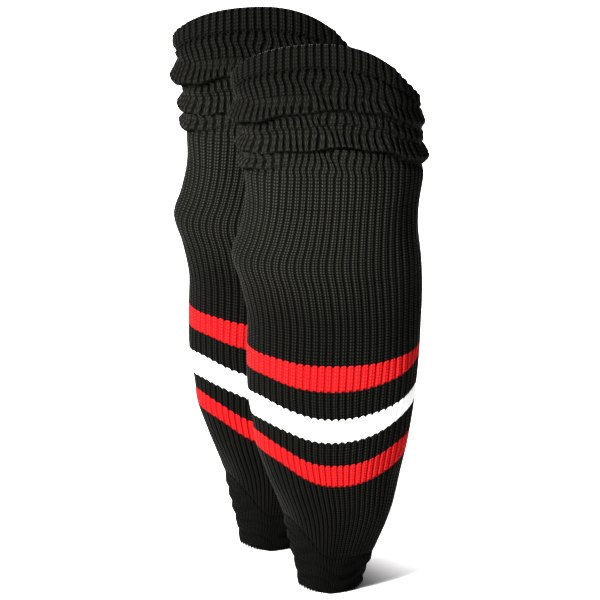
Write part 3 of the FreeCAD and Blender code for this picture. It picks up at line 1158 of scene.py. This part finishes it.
def mouldedMaterial(name, plastic):
    # Moulded plastic: fine grain, a few scuffs and a slightly uneven gloss.
    look = moulding
    n = Nodes(name)
    spot = n.spot()
    cloud = n.noise(spot, *look["clouds"])
    scuffs = n.noise(n.stretched(spot, look["scuffStretch"]), *look["scuffs"])
    marks = n.math("GREATER_THAN", scuffs, look["scuffFrom"])
    base = n.mix(cloud, plastic["low"], plastic["high"])
    pale = tuple(look["scuffPaler"] * v for v in plastic["high"])
    colour = n.mix(n.math("MULTIPLY", marks, look["scuffShare"]), base, pale)
    cloudRough = n.math("MULTIPLY", cloud, look["cloudRough"])
    rough = n.math("ADD", plastic["rough"], n.spread(cloudRough, marks, look["scuffRough"]))
    grain = n.noise(spot, *look["grain"])
    return n.finish(colour, rough, grain, plastic["relief"], look["strength"])


def metalMaterial(name):
    # Nickel-plated steel with fine turning marks.
    look = platedSteel
    n = Nodes(name)
    spot = n.spot()
    marks = n.noise(spot, *look["marks"])
    n.shader.inputs["Metallic"].default_value = 1.0
    colour = n.ramp(n.noise(spot, *look["clouds"]), look["stops"])
    rough = n.spread(look["rough"], marks, look["roughSpread"])
    return n.finish(colour, rough, marks, look["relief"], look["strength"])


def finishHardParts():
    finishes = {name: mouldedMaterial(name, plastic) for name, plastic in plastics.items()}
    finishes["rivet_metal"] = metalMaterial("rivet_metal")
    for side in guards:
        for node, finish in hardParts.items():
            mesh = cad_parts[f"{side}_{node}"].data
            mesh.materials.clear()
            mesh.materials.append(finishes[finish])


buildPads()
print("pads puffed and quilted")
buildStraps()
finishHardParts()
print("straps, tabs and shells finished")

studio = {
    "elevation": 15.0,
    "distance": 16.0,
    "sensor": 36.0,
    "frameWidth": 0.6452,  # metres across the view at the guards
    "aim": (0.0, 0.0, 0.2929),
    "clipEnd": 100,
    "lampAim": (0.0, 0.0, 0.3),
    "floorHalf": 6.0,
    "floorStops": [(0.0, (0.89, 0.89, 0.89)), (1.0, (0.94, 0.94, 0.94))],
    "floorNoise": (3.0, 3.0, 0.5),
    "floorRough": 0.9,
    "worldStrength": 0.36,
    "contrast": 0.8,
}

lamps = {
    "keyLight": {"place": (-2.2, -2.6, 2.0), "size": 1.1, "power": 520},
    "backLight": {"place": (-1.2, 3.1, 2.4), "size": 1.8, "power": 260},
}


def addCamera():
    camera = bpy.data.cameras.new("camera")
    holder = bpy.data.objects.new("camera", camera)
    bpy.context.scene.collection.objects.link(holder)
    camera.sensor_width = studio["sensor"]
    camera.lens = studio["sensor"] * studio["distance"] / studio["frameWidth"]
    camera.clip_end = studio["clipEnd"]
    tilt = math.radians(studio["elevation"])
    away = Vector((0, -math.cos(tilt), math.sin(tilt)))
    holder.location = Vector(studio["aim"]) + studio["distance"] * away
    holder.rotation_euler = (math.pi / 2 - tilt, 0, 0)
    bpy.context.scene.camera = holder


def addLamps():
    for name, setting in lamps.items():
        lamp = bpy.data.lights.new(name, "AREA")
        lamp.shape = "DISK"
        lamp.size = setting["size"]
        lamp.energy = setting["power"]
        holder = bpy.data.objects.new(name, lamp)
        bpy.context.scene.collection.objects.link(holder)
        holder.location = setting["place"]
        ahead = Vector(studio["lampAim"]) - Vector(setting["place"])
        holder.rotation_euler = ahead.to_track_quat("-Z", "Y").to_euler()


def addFloor():
    half = studio["floorHalf"]
    corners = [(-half, -half, 0), (half, -half, 0), (half, half, 0), (-half, half, 0)]
    floor = addMesh("floor", corners, [(0, 1, 2, 3)], smooth=False)
    n = Nodes("paleFloor")
    tone = n.noise(n.spot(), *studio["floorNoise"])
    n.plug(n.ramp(tone, studio["floorStops"]), n.shader.inputs["Base Color"])
    n.shader.inputs["Roughness"].default_value = studio["floorRough"]
    floor.data.materials.append(n.material)


def addWorld():
    world = bpy.data.worlds.new("studio")
    world.use_nodes = True
    back = world.node_tree.nodes["Background"]
    back.inputs["Color"].default_value = (1, 1, 1, 1)
    back.inputs["Strength"].default_value = studio["worldStrength"]
    bpy.context.scene.world = world
    settings = bpy.context.scene.view_settings
    settings.view_transform = "Standard"
    settings.gamma = studio["contrast"]


addCamera()
addLamps()
addFloor()
addWorld()
print("studio ready")
